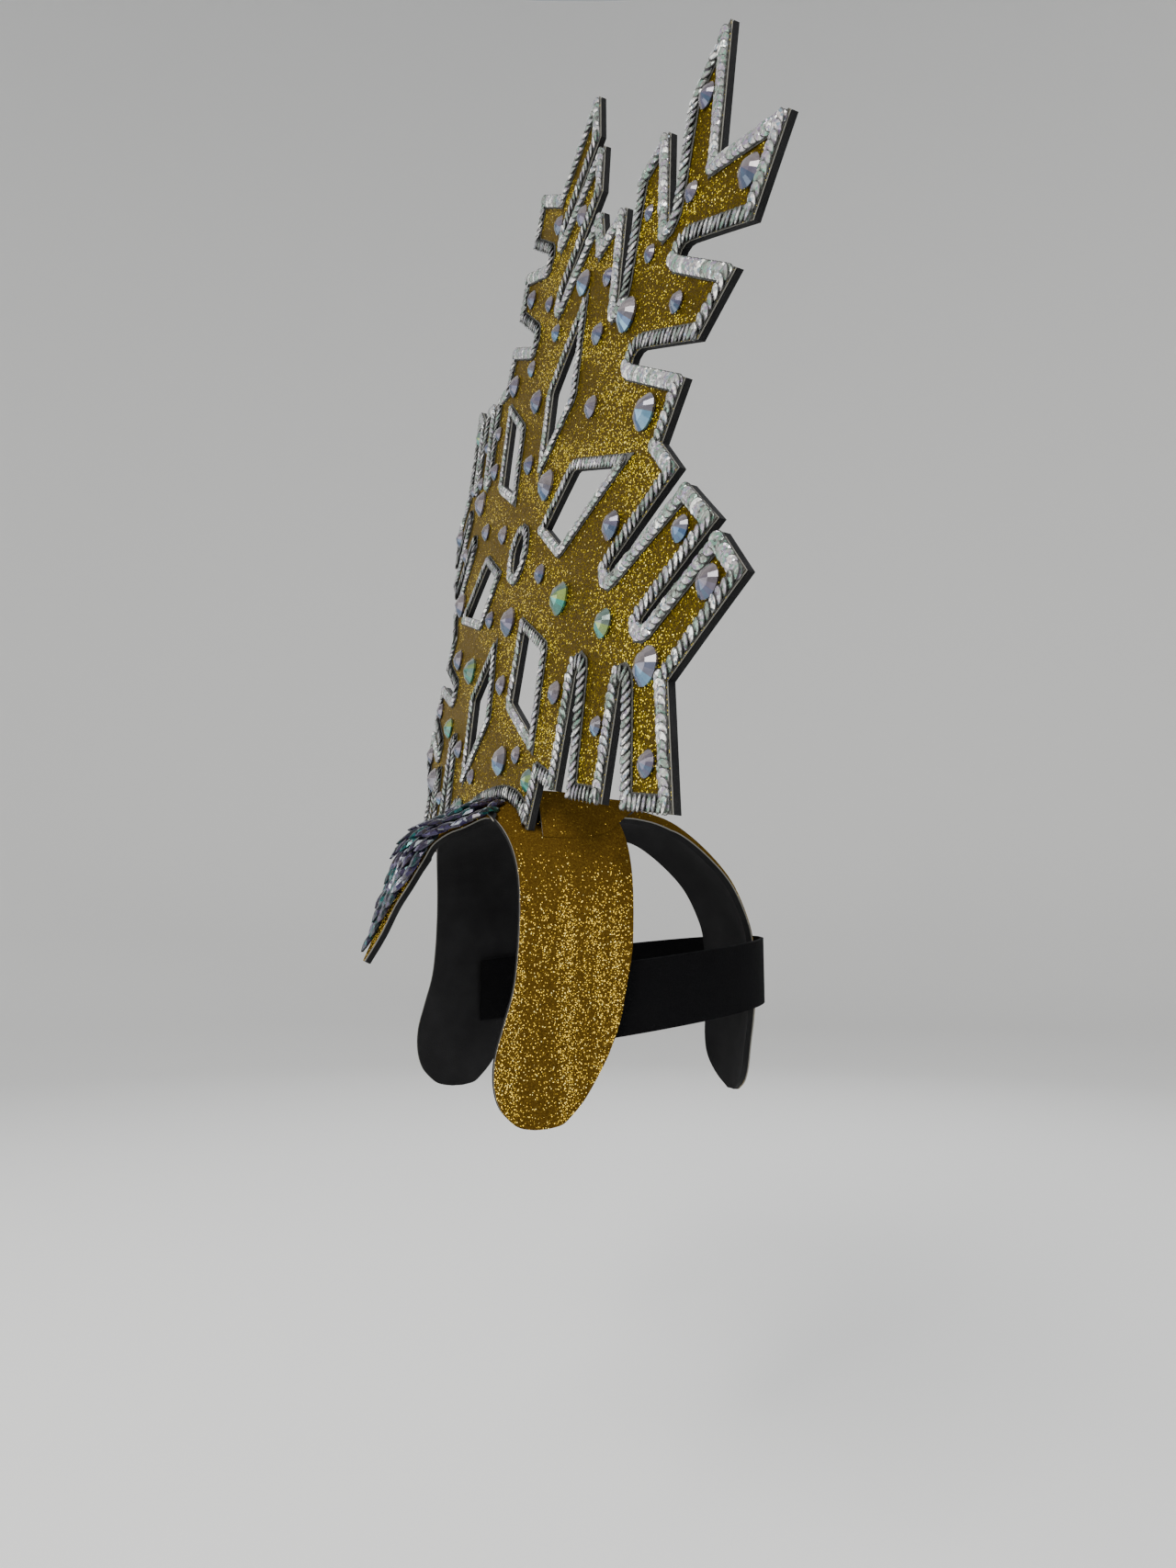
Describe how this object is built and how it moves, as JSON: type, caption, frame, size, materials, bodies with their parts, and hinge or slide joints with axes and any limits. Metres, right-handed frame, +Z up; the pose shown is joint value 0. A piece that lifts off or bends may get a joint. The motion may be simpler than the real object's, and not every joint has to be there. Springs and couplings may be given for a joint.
{
  "type": "carnival crown with a snowflake crest",
  "caption": "Gold glitter carnival headpiece: a flat foam snowflake crest with sequin edging and round iridescent stones stands across a skull cap with lappets, peak and elastic.",
  "frame": {"origin": "the point inside the crown of the cap that rests on top of the wearer's head", "axes": "+Z up along the wearer, -Y the way the wearer faces, +X to the wearer's left"},
  "size_m": [0.488, 0.2248, 0.5559],
  "materials": {
    "black_foam": "matt closed-cell foam board, cut edges and back",
    "gold_cloth": "gold glitter cloth on the crest",
    "gold_cap_cloth": "gold glitter cloth over black foam",
    "sequin_trim": "iridescent silver sequin band",
    "crest_stones": "faceted acrylic with a milky iridescent coat",
    "leaf_stones": "faceted acrylic leaves with an iridescent coat",
    "black_elastic": "woven black elastic"
  },
  "bodies": {
    "root": {"crest_board": "black_foam", "crest_face": "gold_cloth", "outline_trim": "sequin_trim", "window_trim_near_side": "sequin_trim", "window_trim_near_upper": "sequin_trim", "window_trim_near_lower": "sequin_trim", "window_trim_far_side": "sequin_trim", "window_trim_far_upper": "sequin_trim", "window_trim_far_lower": "sequin_trim", "eye_trim": "sequin_trim", "crest_stone_01": "crest_stones", "crest_stone_02": "crest_stones", "crest_stone_03": "crest_stones", "crest_stone_04": "crest_stones", "crest_stone_05": "crest_stones", "crest_stone_06": "crest_stones", "crest_stone_07": "crest_stones", "crest_stone_08": "crest_stones", "crest_stone_09": "crest_stones", "crest_stone_10": "crest_stones", "crest_stone_11": "crest_stones", "crest_stone_12": "crest_stones", "crest_stone_13": "crest_stones", "crest_stone_14": "crest_stones", "crest_stone_15": "crest_stones", "crest_stone_16": "crest_stones", "crest_stone_17": "crest_stones", "crest_stone_18": "crest_stones", "crest_stone_19": "crest_stones", "crest_stone_20": "crest_stones", "crest_stone_21": "crest_stones", "crest_stone_22": "crest_stones", "crest_stone_23": "crest_stones", "crest_stone_24": "crest_stones", "crest_stone_25": "crest_stones", "crest_stone_26": "crest_stones", "crest_stone_27": "crest_stones", "crest_stone_28": "crest_stones", "crest_stone_29": "crest_stones", "crest_stone_30": "crest_stones", "crest_stone_31": "crest_stones", "crest_stone_32": "crest_stones", "crest_stone_33": "crest_stones", "crest_stone_34": "crest_stones", "crest_stone_35": "crest_stones", "crest_stone_36": "crest_stones", "crest_stone_37": "crest_stones", "crest_stone_38": "crest_stones", "cap_saddle": "gold_cap_cloth", "crown_flap": "gold_cap_cloth", "peak": "gold_cap_cloth", "peak_stones": "leaf_stones", "rear_band": "gold_cap_cloth", "elastic_strap": "black_elastic"}
  },
  "joints": []
}
